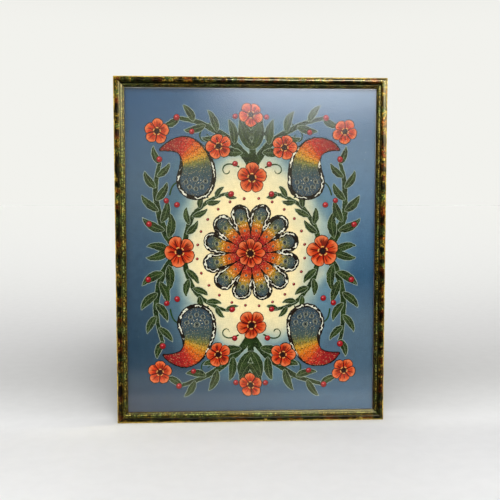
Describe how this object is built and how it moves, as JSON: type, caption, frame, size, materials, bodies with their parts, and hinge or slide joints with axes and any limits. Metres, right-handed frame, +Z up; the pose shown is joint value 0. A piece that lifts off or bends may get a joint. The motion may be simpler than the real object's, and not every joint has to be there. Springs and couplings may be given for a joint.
{
  "type": "framed batik panel with its picture frame",
  "caption": "Upright rectangular batik cloth panel, flat behind glass in a narrow moulded and lacquered wooden frame with a plain board back.",
  "frame": {"origin": "centre of the bottom rail's flat underside, midway between the frame's front and its back", "axes": "+Z up along the panel's height, +X to the right as seen from the front, +Y from the picture to the back of the frame"},
  "size_m": [0.371, 0.022, 0.474],
  "materials": {
    "lacquered_wood": "gloss",
    "clear_glass": "gloss",
    "batik_cotton": "matte",
    "hardboard": "matte"
  },
  "bodies": {
    "root": {"rail_top": "lacquered_wood", "rail_bottom": "lacquered_wood", "rail_left": "lacquered_wood", "rail_right": "lacquered_wood", "glass_pane": "clear_glass", "batik_cloth": "batik_cotton", "back_board": "hardboard"}
  },
  "joints": []
}
